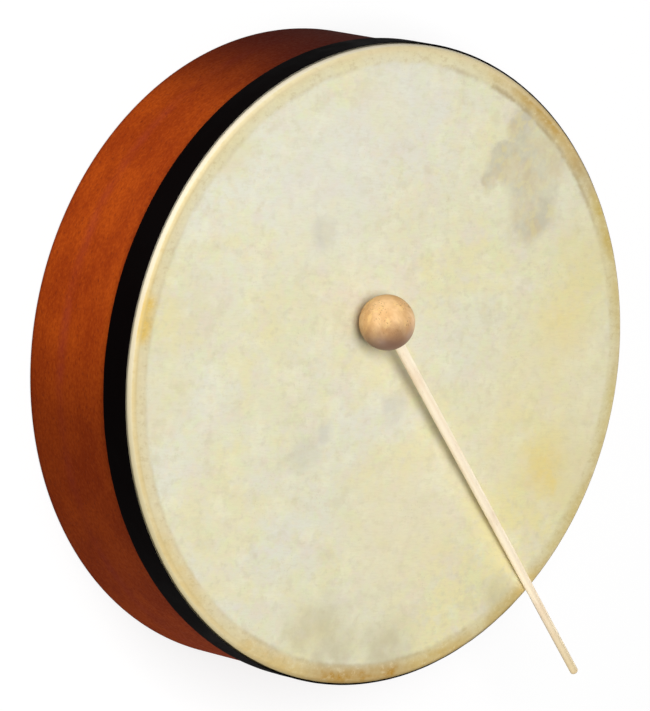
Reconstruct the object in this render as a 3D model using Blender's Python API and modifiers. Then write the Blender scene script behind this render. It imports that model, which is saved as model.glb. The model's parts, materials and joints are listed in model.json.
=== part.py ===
"""Bodhran: a 16 by 4 inch Irish frame drum, with a ball-headed beater lying across its skin.

Blender 4.5, in metres, +Z up. The drum stands on its open back: the rim's back edge is z = 0,
the skin faces up, and the drum's axis is the Z axis. The beater is a separate piece that lifts
straight off along +Z.
"""

import math

import bmesh
import bpy
from mathutils import Matrix, Vector

# Overall size of the drum.
DRUM_DIAMETER = 0.4064
DRUM_DEPTH = 0.1016
SEGMENTS = 72

# Gaps: GAP between pieces that touch, THIN_GAP between the thin layers at the edge.
GAP = 0.0003
THIN_GAP = 0.0002

# Layers at the edge, from the outside in.
BAND_THICKNESS = 0.0006
BAND_BACK_Z = 0.0758
BAND_FRONT_Z = 0.0975
TACK_HEAD_ROOM = 0.0006
SKIN_THICKNESS = 0.0007
SKIN_SHOULDER = 0.0040
SKIN_FLAP_Z = 0.0780

# The rim is bent from two plies.
PLY_THICKNESS = 0.0054
FRONT_ROUNDING = 0.0030
BACK_ROUNDING = 0.0015

# Flat-headed tacks through the skin's flap, under the band.
TACK_COUNT = 24
TACK_Z = 0.0870
TACK_HEAD_RADIUS = 0.0035
TACK_HEAD_THICKNESS = 0.0003
TACK_SHANK_RADIUS = 0.0008
TACK_LENGTH = 0.0048
TACK_POINT = 0.0014
TACK_SIDES = 10
TACK_HOLE_SIDES = 8

# Two crossbars, half-lapped where they cross.
BAR_WIDTH = 0.022
BAR_THICKNESS = 0.010
BAR_BACK_Z = 0.008
BAR_END_GAP = 0.0011
BAR_ROUNDING = 0.002

# Cleats inside the rim, with a notch for the bar's end.
CLEAT_WIDTH = 0.044
CLEAT_DEPTH = 0.016
CLEAT_HEIGHT = 0.026
CLEAT_ROUNDING = 0.0015

# Countersunk wood screws through the bars' ends.
SCREW_INSET = 0.0085
SCREW_LENGTH = 0.020
SCREW_SHANK_RADIUS = 0.0019
SCREW_HEAD_RADIUS = 0.0040
SCREW_HEAD_HEIGHT = 0.0024
SCREW_HEAD_LAND = 0.0003
SCREW_POINT = 0.004
SCREW_SLOT_WIDTH = 0.0009
SCREW_SLOT_DEPTH = 0.0008
SCREW_SIDES = 16

# Beater: a ball on a tapered stick.
BALL_RADIUS = 0.0175
BALL_BORE_DEPTH = 0.024
BALL_SIDES = 28
BALL_RINGS = 14
STICK_RADIUS_AT_BALL = 0.0035
STICK_RADIUS_AT_TIP = 0.0027
STICK_TIP_FROM_BALL_CENTRE = 0.308
STICK_TIP_ROUNDING = 0.0012
STICK_SIDES = 20
BALL_CENTRE_X = -0.0292
BALL_CENTRE_Y = -0.0165
STICK_HEADING = math.radians(43.3)

# Mesh making: edges sharper than this stay sharp, and nearer points are made one.
SHARP_ANGLE = math.radians(35)
MERGE_DISTANCE = 0.00001

# Radii and heights that follow from the driving dimensions.
BAND_OUTER = DRUM_DIAMETER / 2
BAND_INNER = BAND_OUTER - BAND_THICKNESS
SKIN_OUTER = BAND_INNER - TACK_HEAD_ROOM
RIM_OUTER = SKIN_OUTER - SKIN_THICKNESS - THIN_GAP
OUTER_PLY_INNER = RIM_OUTER - PLY_THICKNESS
INNER_PLY_OUTER = OUTER_PLY_INNER - GAP
RIM_INNER = INNER_PLY_OUTER - PLY_THICKNESS
RIM_FRONT_Z = DRUM_DEPTH - SKIN_THICKNESS - THIN_GAP
FACET_FACTOR = math.cos(math.pi / SEGMENTS)
BAR_FRONT_Z = BAR_BACK_Z + BAR_THICKNESS
BAR_HALF_LENGTH = RIM_INNER - BAR_END_GAP


def clear_scene():
    for obj in list(bpy.data.objects):
        bpy.data.objects.remove(obj)


def new_collection(name):
    made = bpy.data.collections.new(name)
    bpy.context.scene.collection.children.link(made)
    return made


def linear(channel):
    """One sRGB channel, 0 to 255, as the linear value that a shader takes."""
    share = channel / 255
    if share <= 0.04045:
        return share / 12.92
    return ((share + 0.055) / 1.055) ** 2.4


def new_material(name, srgb, roughness, metallic=0.0):
    made = bpy.data.materials.new(name)
    made.use_nodes = True
    shader = made.node_tree.nodes["Principled BSDF"]
    shader.inputs["Base Color"].default_value = [linear(c) for c in srgb] + [1.0]
    shader.inputs["Roughness"].default_value = roughness
    shader.inputs["Metallic"].default_value = metallic
    return made


def new_object(name, mesh, collection, material=None):
    made = bpy.data.objects.new(name, mesh)
    collection.objects.link(made)
    if material:
        mesh.materials.clear()
        mesh.materials.append(material)
    return made


def mesh_from(build):
    """A new mesh filled by the function build, which is handed an empty BMesh."""
    work = bmesh.new()
    build(work)
    bmesh.ops.recalc_face_normals(work, faces=work.faces)
    mesh = bpy.data.meshes.new("mesh")
    work.to_mesh(mesh)
    work.free()
    return mesh


def settle(obj):
    """Apply the object's modifiers and shade it smooth between its sharp edges."""
    bpy.context.view_layer.update()
    graph = bpy.context.evaluated_depsgraph_get()
    mesh = bpy.data.meshes.new_from_object(obj.evaluated_get(graph))
    obj.modifiers.clear()
    obj.data = mesh
    mesh.name = obj.name
    mesh.shade_smooth()
    mesh.set_sharp_from_angle(angle=SHARP_ANGLE)


def arc(centre_r, centre_z, radius, start, end, steps=4):
    """Points of a circular arc in the profile plane, from start to end degrees."""
    angles = [math.radians(start + (end - start) * i / steps) for i in range(steps + 1)]
    return [
        (centre_r + radius * math.cos(a), centre_z + radius * math.sin(a)) for a in angles
    ]


def turned(name, profile, sides, collection, material, closed=False):
    """A profile of (radius, height) points, turned about Z by a Screw modifier."""
    mesh = bpy.data.meshes.new(name)
    edges = [(i, i + 1) for i in range(len(profile) - 1)]
    if closed:
        edges.append((len(profile) - 1, 0))
    mesh.from_pydata([(r, 0, z) for r, z in profile], edges, [])
    made = new_object(name, mesh, collection, material)
    screw = made.modifiers.new("turn", "SCREW")
    screw.steps = sides
    screw.render_steps = sides
    screw.use_merge_vertices = True
    screw.merge_threshold = MERGE_DISTANCE
    return made


def box(name, low, high, collection, material=None):
    """A box between two corners."""
    low, high = Vector(low), Vector(high)
    size = high - low
    place = Matrix.Translation((low + high) / 2) @ Matrix.Diagonal((*size, 1))
    mesh = mesh_from(lambda work: bmesh.ops.create_cube(work, size=1, matrix=place))
    return new_object(name, mesh, collection, material)


def rod(name, radius, start, end, sides, collection):
    """A capped cylinder along Z, from height start to height end."""
    place = Matrix.Translation((0, 0, (start + end) / 2))
    mesh = mesh_from(
        lambda work: bmesh.ops.create_cone(
            work,
            cap_ends=True,
            segments=sides,
            radius1=radius,
            radius2=radius,
            depth=end - start,
            matrix=place,
        )
    )
    return new_object(name, mesh, collection)


def round_edges(obj, width, segments=2):
    bevel = obj.modifiers.new("rounding", "BEVEL")
    bevel.width = width
    bevel.segments = segments
    bevel.limit_method = "ANGLE"


def boolean(obj, other, operation="DIFFERENCE"):
    """Cut obj with another object, or keep what they share."""
    other.hide_render = True
    other.display_type = "WIRE"
    modifier = obj.modifiers.new(other.name, "BOOLEAN")
    modifier.operation = operation
    modifier.solver = "EXACT"
    modifier.object = other


def copies(first, turns, place):
    """Rename first to NAME_01 and add a copy, sharing its mesh, for each further turn."""
    name = first.name
    pieces = []
    for number, turn in enumerate(turns, 1):
        piece = first
        if pieces:
            piece = bpy.data.objects.new(name, first.data)
            first.users_collection[0].objects.link(piece)
        piece.name = f"{name}_{number:02d}"
        piece.matrix_world = Matrix.Rotation(turn, 4, "Z") @ place
        pieces.append(piece)
    return pieces


def tack_turns():
    """The tacks' directions: each one is at the middle of a facet of the rim."""
    half_facet = math.pi / SEGMENTS
    return [math.tau * i / TACK_COUNT + half_facet for i in range(TACK_COUNT)]


def make_tack_holes(cutters):
    """Radial holes for the shanks, through the skin's flap and blind into the outer ply."""
    start = SKIN_OUTER * FACET_FACTOR - TACK_LENGTH - GAP
    length = SKIN_OUTER + THIN_GAP - start

    def drill(work):
        for turn in tack_turns():
            outward = Matrix.Rotation(turn, 4, "Z") @ Matrix.Rotation(math.pi / 2, 4, "Y")
            bmesh.ops.create_cone(
                work,
                cap_ends=True,
                segments=TACK_HOLE_SIDES,
                radius1=TACK_SHANK_RADIUS + GAP,
                radius2=TACK_SHANK_RADIUS + GAP,
                depth=length,
                matrix=Matrix.Translation((0, 0, TACK_Z))
                @ outward
                @ Matrix.Translation((0, 0, start + length / 2)),
            )

    return new_object("tack_holes", mesh_from(drill), cutters)


def make_outer_ply(parts, wood, tack_holes):
    profile = [(OUTER_PLY_INNER, RIM_FRONT_Z)]
    profile += arc(
        RIM_OUTER - FRONT_ROUNDING, RIM_FRONT_Z - FRONT_ROUNDING, FRONT_ROUNDING, 90, 0
    )
    profile += arc(RIM_OUTER - BACK_ROUNDING, BACK_ROUNDING, BACK_ROUNDING, 0, -90, 3)
    profile += [(OUTER_PLY_INNER, 0)]
    ply = turned("rim_outer_ply", profile, SEGMENTS, parts, wood, closed=True)
    boolean(ply, tack_holes)
    settle(ply)


def make_inner_ply(parts, wood):
    profile = arc(
        RIM_INNER + FRONT_ROUNDING, RIM_FRONT_Z - FRONT_ROUNDING, FRONT_ROUNDING, 180, 90
    )
    profile += [(INNER_PLY_OUTER, RIM_FRONT_Z), (INNER_PLY_OUTER, 0)]
    profile += arc(RIM_INNER + BACK_ROUNDING, BACK_ROUNDING, BACK_ROUNDING, -90, -180, 3)
    settle(turned("rim_inner_ply", profile, SEGMENTS, parts, wood, closed=True))


def make_skin(parts, goatskin, tack_holes):
    """The skin lies flat over the drum and turns down over the rim's front edge."""
    profile = [(0, DRUM_DEPTH)]
    profile += arc(
        SKIN_OUTER - SKIN_SHOULDER, DRUM_DEPTH - SKIN_SHOULDER, SKIN_SHOULDER, 90, 0, 5
    )
    profile += [(SKIN_OUTER, SKIN_FLAP_Z)]
    skin = turned("drum_skin", profile, SEGMENTS, parts, goatskin)
    shell = skin.modifiers.new("thickness", "SOLIDIFY")
    shell.thickness = SKIN_THICKNESS
    shell.offset = -1
    shell.use_even_offset = True
    boolean(skin, tack_holes)
    settle(skin)


def make_band(parts, black):
    profile = [
        (BAND_INNER, BAND_FRONT_Z),
        (BAND_OUTER, BAND_FRONT_Z),
        (BAND_OUTER, BAND_BACK_Z),
        (BAND_INNER, BAND_BACK_Z),
    ]
    settle(turned("black_band", profile, SEGMENTS, parts, black, closed=True))


def make_tacks(parts, steel):
    """Each tack's local Z points outwards, with z = 0 under its head."""
    profile = [
        (0, TACK_HEAD_THICKNESS),
        (TACK_HEAD_RADIUS, TACK_HEAD_THICKNESS),
        (TACK_HEAD_RADIUS, 0),
        (TACK_SHANK_RADIUS, 0),
        (TACK_SHANK_RADIUS, TACK_POINT - TACK_LENGTH),
        (0, -TACK_LENGTH),
    ]
    tack = turned("skin_tack", profile, TACK_SIDES, parts, steel)
    settle(tack)
    spare = (BAND_INNER - SKIN_OUTER) * FACET_FACTOR - TACK_HEAD_THICKNESS
    under_head = SKIN_OUTER * FACET_FACTOR + spare / 2
    place = Matrix.Translation((under_head, 0, TACK_Z)) @ Matrix.Rotation(math.pi / 2, 4, "Y")
    copies(tack, tack_turns(), place)


def screw_profile(clearance=0.0):
    """A countersunk screw whose head faces +Z at z = 0, grown by a clearance for its hole.

    The screw sits GAP below the bar's face, so its hole also reaches further down.
    """
    head = SCREW_HEAD_RADIUS + clearance
    shank = SCREW_SHANK_RADIUS + clearance
    return [
        (0, clearance),
        (head, clearance),
        (head, -SCREW_HEAD_LAND - clearance),
        (shank, -SCREW_HEAD_HEIGHT - clearance),
        (shank, SCREW_POINT - SCREW_LENGTH - clearance),
        (0, -SCREW_LENGTH - 3 * clearance),
    ]


def screw_place():
    """A screw enters the bar's end from the back, so its head faces -Z."""
    x = BAR_HALF_LENGTH - SCREW_INSET
    return Matrix.Translation((x, 0, BAR_BACK_Z)) @ Matrix.Rotation(math.pi, 4, "X")


def quarter_turns():
    return [math.tau * i / 4 for i in range(4)]


def make_screw_holes(cutters):
    """The screws' clearance holes: a cutter for each bar end, in the order of the turns."""
    hole = turned("screw_hole", screw_profile(GAP), SCREW_SIDES, cutters, None)
    settle(hole)
    return copies(hole, quarter_turns(), screw_place())


def make_screws(parts, cutters, steel):
    screw = turned("cleat_screw", screw_profile(), SCREW_SIDES, parts, steel)
    slot = box(
        "screw_slot",
        (-2 * SCREW_HEAD_RADIUS, -SCREW_SLOT_WIDTH / 2, -SCREW_SLOT_DEPTH),
        (2 * SCREW_HEAD_RADIUS, SCREW_SLOT_WIDTH / 2, SCREW_SLOT_DEPTH),
        cutters,
    )
    boolean(screw, slot)
    settle(screw)
    sunk = screw_place() @ Matrix.Translation((0, 0, -GAP))
    copies(screw, quarter_turns(), sunk)


def make_bar(name, lap_side, turn, parts, cutters, wood, screw_holes):
    """A crossbar along local X, cut to half its thickness on lap_side (1 is up) at its middle."""
    half = BAR_WIDTH / 2
    bar = box(
        name,
        (-BAR_HALF_LENGTH, -half, BAR_BACK_Z),
        (BAR_HALF_LENGTH, half, BAR_FRONT_Z),
        parts,
        wood,
    )
    round_edges(bar, BAR_ROUNDING)
    halfway = BAR_BACK_Z + BAR_THICKNESS / 2
    middle = halfway - lap_side * GAP / 2
    outside = halfway + lap_side * BAR_THICKNESS
    reach = half + GAP
    lap = box(
        f"{name}_lap",
        (-reach, -BAR_WIDTH, min(middle, outside)),
        (reach, BAR_WIDTH, max(middle, outside)),
        cutters,
    )
    bar.rotation_euler.z = turn
    lap.rotation_euler.z = turn
    boolean(bar, lap)
    for hole in screw_holes:
        boolean(bar, hole)
    settle(bar)


def make_cleats(parts, cutters, wood, screw_hole):
    """A block against the rim's inner wall at +X, with its outer face curved to the wall."""
    half = CLEAT_WIDTH / 2
    cleat = box(
        "bar_cleat",
        (RIM_INNER - CLEAT_DEPTH, -half, BAR_BACK_Z),
        (RIM_INNER + CLEAT_DEPTH, half, BAR_BACK_Z + CLEAT_HEIGHT),
        parts,
        wood,
    )
    round_edges(cleat, CLEAT_ROUNDING)
    wall = rod("cleat_wall", RIM_INNER - GAP, -DRUM_DEPTH, DRUM_DEPTH, SEGMENTS, cutters)
    boolean(cleat, wall, "INTERSECT")
    notch_half = BAR_WIDTH / 2 + GAP
    notch = box(
        "cleat_notch",
        (0, -notch_half, 0),
        (2 * RIM_INNER, notch_half, BAR_FRONT_Z + GAP),
        cutters,
    )
    boolean(cleat, notch)
    boolean(cleat, screw_hole)
    settle(cleat)
    copies(cleat, quarter_turns(), Matrix.Identity(4))


def stick_slope():
    """How far the stick tips down: the ball rests on the skin and the stick on the shoulder.

    In the upright plane through the stick, the skin's shoulder is an arc about a centre that
    lies SKIN_SHOULDER in from the skin's outer radius and below its top.
    """
    heading = Vector((math.cos(STICK_HEADING), math.sin(STICK_HEADING)))
    ball = Vector((BALL_CENTRE_X, BALL_CENTRE_Y))
    along = ball.dot(heading)
    shoulder = SKIN_OUTER - SKIN_SHOULDER
    reach = -along + math.sqrt(along**2 + shoulder**2 - ball.length_squared)
    rise = BALL_RADIUS + GAP + SKIN_SHOULDER
    share = reach / STICK_TIP_FROM_BALL_CENTRE
    stick = STICK_RADIUS_AT_BALL + share * (STICK_RADIUS_AT_TIP - STICK_RADIUS_AT_BALL)
    clear = SKIN_SHOULDER + stick + GAP
    return math.atan2(rise, reach) - math.asin(clear / math.hypot(rise, reach))


def make_beater_frame(parts):
    """An empty at the ball's centre, on the lift's axis, whose local Z runs down the stick."""
    frame = bpy.data.objects.new("beater_frame", None)
    parts.objects.link(frame)
    frame.matrix_world = (
        Matrix.Translation((BALL_CENTRE_X, BALL_CENTRE_Y, DRUM_DEPTH + GAP + BALL_RADIUS))
        @ Matrix.Rotation(STICK_HEADING, 4, "Z")
        @ Matrix.Rotation(math.pi / 2 + stick_slope(), 4, "Y")
    )
    return frame


def make_ball(parts, wood, frame):
    """A ball with a blind bore for the stick, on the side that faces it."""
    bore = STICK_RADIUS_AT_BALL + GAP
    mouth = math.degrees(math.acos(bore / BALL_RADIUS))
    floor = math.sqrt(BALL_RADIUS**2 - bore**2) - BALL_BORE_DEPTH
    profile = [(0, floor), (bore, floor)]
    profile += arc(0, 0, BALL_RADIUS, mouth, -90, BALL_RINGS)[:-1]
    profile += [(0, -BALL_RADIUS)]
    ball = turned("beater_ball", profile, BALL_SIDES, parts, wood)
    settle(ball)
    ball.parent = frame


def make_stick(parts, wood, frame):
    """The stick tapers from the ball to its tip, whose edge is rounded."""
    bore_floor = math.sqrt(BALL_RADIUS**2 - STICK_RADIUS_AT_BALL**2) - BALL_BORE_DEPTH
    start = bore_floor + 2 * GAP
    end = STICK_TIP_FROM_BALL_CENTRE
    edge = STICK_TIP_ROUNDING
    profile = [(0, end)]
    profile += arc(STICK_RADIUS_AT_TIP - edge, end - edge, edge, 90, 0, 3)
    profile += [(STICK_RADIUS_AT_BALL, BALL_RADIUS)]
    profile += [(STICK_RADIUS_AT_BALL, start), (0, start)]
    stick = turned("beater_stick", profile, STICK_SIDES, parts, wood)
    settle(stick)
    stick.parent = frame


def main():
    clear_scene()
    parts = new_collection("bodhran")
    cutters = new_collection("cutters")
    rim_wood = new_material("rim_wood", (132, 50, 14), 0.45)
    bar_wood = new_material("bar_wood", (150, 92, 46), 0.55)
    pale_wood = new_material("pale_wood", (240, 222, 186), 0.55)
    ball_wood = new_material("ball_wood", (219, 178, 126), 0.5)
    goatskin = new_material("goatskin", (227, 222, 189), 0.6)
    black = new_material("black_tape", (14, 7, 5), 0.35)
    steel = new_material("steel", (170, 170, 168), 0.35, 1.0)

    tack_holes = make_tack_holes(cutters)
    make_outer_ply(parts, rim_wood, tack_holes)
    make_inner_ply(parts, rim_wood)
    make_skin(parts, goatskin, tack_holes)
    make_band(parts, black)
    make_tacks(parts, steel)
    screw_holes = make_screw_holes(cutters)
    make_bar("crossbar_x", 1, 0, parts, cutters, bar_wood, screw_holes[0::2])
    make_bar("crossbar_y", -1, math.pi / 2, parts, cutters, bar_wood, screw_holes[1::2])
    make_cleats(parts, cutters, bar_wood, screw_holes[0])
    make_screws(parts, cutters, steel)
    frame = make_beater_frame(parts)
    make_ball(parts, ball_wood, frame)
    make_stick(parts, pale_wood, frame)


main()
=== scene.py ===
"""Looks of the bodhran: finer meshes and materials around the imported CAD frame, in metres, +Z up."""

import functools
import json
import math

import bmesh
import bpy
from mathutils import Matrix, Vector, noise

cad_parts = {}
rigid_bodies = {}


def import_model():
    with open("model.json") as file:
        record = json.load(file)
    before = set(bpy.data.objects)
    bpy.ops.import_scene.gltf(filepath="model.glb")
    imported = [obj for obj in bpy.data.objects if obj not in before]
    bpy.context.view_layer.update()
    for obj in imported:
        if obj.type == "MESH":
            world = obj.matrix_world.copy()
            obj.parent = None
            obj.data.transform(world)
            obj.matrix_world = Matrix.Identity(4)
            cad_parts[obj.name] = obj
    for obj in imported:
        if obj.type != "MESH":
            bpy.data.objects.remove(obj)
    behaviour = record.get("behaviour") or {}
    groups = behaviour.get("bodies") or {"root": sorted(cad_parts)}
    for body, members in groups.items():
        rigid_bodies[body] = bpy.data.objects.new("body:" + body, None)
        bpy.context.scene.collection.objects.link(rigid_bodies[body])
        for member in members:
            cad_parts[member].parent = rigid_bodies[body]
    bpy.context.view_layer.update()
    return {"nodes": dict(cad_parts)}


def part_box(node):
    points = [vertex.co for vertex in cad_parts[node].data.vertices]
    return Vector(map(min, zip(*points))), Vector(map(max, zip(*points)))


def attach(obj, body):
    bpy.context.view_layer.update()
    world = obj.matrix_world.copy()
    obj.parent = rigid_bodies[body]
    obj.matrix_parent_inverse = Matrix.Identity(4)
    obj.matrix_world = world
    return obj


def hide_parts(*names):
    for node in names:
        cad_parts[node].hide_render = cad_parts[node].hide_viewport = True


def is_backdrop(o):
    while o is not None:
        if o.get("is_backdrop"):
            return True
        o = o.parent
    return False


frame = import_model()

# ---------------- sizes taken from the frame


def radii(node):
    """The smallest and largest distance of a CAD node's points from the drum's axis."""
    lengths = [v.co.xy.length for v in frame["nodes"][node].data.vertices]
    return min(lengths), max(lengths)


OUTER_PLY_INNER, RIM_OUTER = radii("rim_outer_ply")
RIM_INNER, INNER_PLY_OUTER = radii("rim_inner_ply")
BAND_OUTER = radii("black_band")[1]
SKIN_OUTER = radii("drum_skin")[1]
RIM_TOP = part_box("rim_outer_ply")[1].z
SKIN_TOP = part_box("drum_skin")[1].z
SKIN_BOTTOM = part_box("drum_skin")[0].z
BAND_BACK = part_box("black_band")[0].z
BAND_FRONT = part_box("black_band")[1].z
TACKS, SCREWS, CLEATS = (
    sorted(node for node in frame["nodes"] if node.startswith(start))
    for start in ("skin_tack", "cleat_screw", "bar_cleat")
)

BALL_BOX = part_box("beater_ball")
BALL_CENTRE = (BALL_BOX[0] + BALL_BOX[1]) / 2
BALL_RADIUS = (BALL_BOX[1].y - BALL_BOX[0].y) / 2

# The same sizes as in the CAD, where the frame's boxes don't show them.
SKIN_THICKNESS = 0.0007
SHOULDER = 0.0040
GAP = 0.0003
BAR_ROUNDING = 0.002
CLEAT_DEPTH = 0.016
CLEAT_ROUNDING = 0.0015
SCREW_HEAD_RADIUS = 0.0040
SCREW_HEAD_LAND = 0.0003
SCREW_HEAD_HEIGHT = 0.0024
SCREW_SHANK_RADIUS = 0.0019
SCREW_SLOT_WIDTH = 0.0009
SCREW_SLOT_DEPTH = 0.0008
SCREW_POINT = 0.004
STICK_RADIUS_AT_BALL = 0.0035
STICK_RADIUS_AT_TIP = 0.0027


def stick_tip():
    """The centre of the stick's far end: the mean of the CAD points furthest from the ball."""
    points = [v.co for v in frame["nodes"]["beater_stick"].data.vertices]
    furthest = max((p - BALL_CENTRE).length for p in points)
    end = [p for p in points if (p - BALL_CENTRE).length > furthest - 0.0008]
    return sum(end, Vector()) / len(end)


STICK_TIP = stick_tip()
STICK_AXIS = (STICK_TIP - BALL_CENTRE).normalized()
STICK_LENGTH = (STICK_TIP - BALL_CENTRE).length
BEATER_FRAME = Matrix.Translation(BALL_CENTRE) @ STICK_AXIS.to_track_quat("Z", "X").to_matrix().to_4x4()

# ---------------- node materials


def linear(channel):
    share = channel / 255
    return share / 12.92 if share <= 0.04045 else ((share + 0.055) / 1.055) ** 2.4


def srgb(red, green, blue):
    """A colour of sRGB values from 0 to 255, as a shader takes it."""
    return (linear(red), linear(green), linear(blue), 1.0)


class Look:
    """A material's node tree, with a short call for each kind of node that is used here."""

    def __init__(self, name):
        self.material = bpy.data.materials.new(name)
        self.material.use_nodes = True
        self.tree = self.material.node_tree

    def node(self, kind, **settings):
        made = self.tree.nodes.new("ShaderNode" + kind)
        for name, value in settings.items():
            setattr(made, name, value)
        return made

    def put(self, socket, value):
        """Link a socket to a node's output, or set its value."""
        if isinstance(value, bpy.types.NodeSocket):
            self.tree.links.new(value, socket)
        else:
            socket.default_value = value

    def fill(self, node, *values, **named):
        """Put values into a node's first inputs, and into named ones: Base_Color is Base Color."""
        for socket, value in zip(node.inputs, values):
            self.put(socket, value)
        for name, value in named.items():
            self.put(node.inputs[name.replace("_", " ")], value)
        return node

    def finish(self, **values):
        """Set the surface's inputs and give the finished material."""
        self.fill(self.tree.nodes["Principled BSDF"], **values)
        return self.material

    def vector(self, operation, *values):
        return self.fill(self.node("VectorMath", operation=operation), *values).outputs[0]

    def measure(self, operation, *values):
        """A number worked out from vectors, such as a distance."""
        return self.fill(self.node("VectorMath", operation=operation), *values).outputs[1]

    def place(self, scale=(1, 1, 1), offset=(0, 0, 0)):
        """Coordinates in metres in the frame's axes, scaled and then shifted."""
        source = self.node("TexCoord").outputs["Object"]
        return self.vector("MULTIPLY_ADD", source, scale, offset)

    def grain(self, along=1, across=1):
        """The grain attribute's coordinates in metres, scaled along the grain and across it."""
        source = self.node("Attribute", attribute_name="grain").outputs["Vector"]
        return self.vector("MULTIPLY", source, (along, across, across))

    def warp(self, vector, amount, scale, detail=2):
        """The coordinates pushed about by noise, for edges that aren't true circles."""
        texture = self.fill(self.node("TexNoise"), Vector=vector, Scale=scale, Detail=detail)
        centred = self.vector("SUBTRACT", texture.outputs["Color"], (0.5, 0.5, 0.5))
        return self.vector("MULTIPLY_ADD", centred, (amount, amount, amount), vector)

    def noise(self, vector, scale=1.0, detail=3.0, roughness=0.5, distortion=0.0):
        texture = self.fill(self.node("TexNoise"), Vector=vector, Scale=scale, Detail=detail)
        self.fill(texture, Roughness=roughness, Distortion=distortion)
        return texture.outputs["Fac"]

    def spots(self, vector, scale=1.0):
        """The distance to the nearest of many scattered points."""
        texture = self.node("TexVoronoi")
        return self.fill(texture, Vector=vector, Scale=scale).outputs["Distance"]

    def step(self, value, low, high, bottom=0.0, top=1.0):
        """A smooth rise from bottom to top as value goes from low to high."""
        made = self.node("MapRange", interpolation_type="SMOOTHSTEP")
        self.fill(made, Value=value, From_Min=low, From_Max=high, To_Min=bottom, To_Max=top)
        return made.outputs["Result"]

    def cloud(self, vector, scale, detail, roughness, low, high, bottom=0.0, top=1.0):
        """Noise as soft patches: it rises from bottom to top where the noise is low to high."""
        return self.step(self.noise(vector, scale, detail, roughness), low, high, bottom, top)

    def calc(self, operation, *values):
        return self.fill(self.node("Math", operation=operation), *values).outputs[0]

    def times(self, *values):
        return functools.reduce(lambda first, second: self.calc("MULTIPLY", first, second), values)

    def most(self, *values):
        return functools.reduce(lambda first, second: self.calc("MAXIMUM", first, second), values)

    def blend(self, share, first, second):
        """Two colours, from nodes or as sRGB triples, mixed by a share."""
        mix = self.node("Mix", data_type="RGBA")
        self.put(mix.inputs[0], share)
        for at, colour in ((6, first), (7, second)):
            self.put(mix.inputs[at], srgb(*colour) if isinstance(colour, tuple) else colour)
        return mix.outputs[2]

    def axis(self, vector, name):
        return self.fill(self.node("SeparateXYZ"), vector).outputs[name]

    def radius(self, vector):
        """The distance from the drum's axis."""
        return self.measure("LENGTH", self.vector("MULTIPLY", vector, (1, 1, 0)))

    def blob(self, vector, centre, size, soft):
        """1 within size of a centre, falling to 0 over the soft distance."""
        return self.step(self.measure("DISTANCE", vector, centre), size, size + soft, 1.0, 0.0)

    def bump(self, height, distance, strength):
        made = self.fill(self.node("Bump"), Height=height, Distance=distance, Strength=strength)
        return made.outputs["Normal"]


HIDE_BASE = (231, 227, 196)
# The hide's tones: colour, patches per metre, where the patches begin and end, and their share.
HIDE_TONES = (
    ((230, 229, 216), 8, 0.44, 0.62, 0.55),
    ((237, 226, 168), 18, 0.48, 0.64, 0.55),
    ((231, 218, 202), 40, 0.50, 0.66, 0.55),
    ((228, 232, 186), 70, 0.50, 0.64, 0.44),
    ((243, 240, 211), 60, 0.50, 0.66, 0.42),
    ((212, 203, 168), 85, 0.52, 0.68, 0.35),
    ((229, 223, 208), 110, 0.50, 0.64, 0.36),
    ((235, 217, 192), 170, 0.50, 0.64, 0.26),
    ((240, 231, 172), 180, 0.50, 0.64, 0.16),
    ((222, 229, 192), 260, 0.50, 0.64, 0.16),
    ((210, 202, 170), 200, 0.52, 0.70, 0.34),
)
# Broad tones over the hide: colour, place, size, softness and share.
HIDE_ZONES = (
    ((232, 231, 214), (-0.110, -0.115), 0.030, 0.065, 0.65),
    ((230, 228, 216), (-0.160, -0.010), 0.025, 0.060, 0.65),
    ((229, 226, 212), (0.112, -0.112), 0.020, 0.060, 0.65),
    ((231, 223, 182), (-0.015, -0.065), 0.015, 0.055, 0.50),
    ((222, 211, 172), (-0.020, -0.180), 0.010, 0.045, 0.60),
    ((237, 226, 166), (-0.035, 0.165), 0.020, 0.065, 0.75),
    ((236, 225, 160), (0.080, 0.145), 0.025, 0.065, 0.80),
    ((242, 230, 170), (0.150, 0.085), 0.020, 0.055, 0.70),
    ((230, 229, 217), (0.010, -0.020), 0.020, 0.045, 0.45),
)
# Faint washes over those: warm towards +Y and +X, pale towards -X, and yellow beside the rim.
HIDE_WASHES = (
    ((241, 224, 158), (0.030, 0.150), 0.040, 0.060, 0.26),
    ((244, 229, 188), (0.100, 0.030), 0.020, 0.045, 0.34),
    ((228, 227, 220), (-0.110, -0.065), 0.020, 0.045, 0.34),
    ((228, 227, 220), (-0.170, -0.015), 0.015, 0.035, 0.34),
    ((226, 214, 156), (-0.132, -0.147), 0.010, 0.020, 0.40),
    ((226, 214, 162), (0.030, -0.186), 0.012, 0.030, 0.30),
    ((226, 211, 148), (-0.079, 0.170), 0.014, 0.032, 0.32),
    ((226, 209, 148), (0.064, 0.176), 0.014, 0.032, 0.32),
)


def hide_tones(look, here):
    """The cloudy cream of the whole hide."""
    drift = look.warp(here, 0.05, 16, 3)

    def laid(under, zones):
        for tone, (x, y), size, soft, share in zones:
            zone = look.times(look.blob(drift, (x, y, SKIN_TOP), size, soft), share)
            under = look.blend(zone, under, tone)
        return under

    colour = laid(HIDE_BASE, HIDE_ZONES)
    for seed, (tone, scale, low, high, share) in enumerate(HIDE_TONES):
        at = look.place(scale=(1.0, 0.8, 1.0), offset=(seed * 1.7, seed * 0.9, 0))
        patches = look.cloud(at, scale, 4, 0.6, low, high, 0, share)
        colour = look.blend(patches, colour, tone)
    return laid(colour, HIDE_WASHES)


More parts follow.
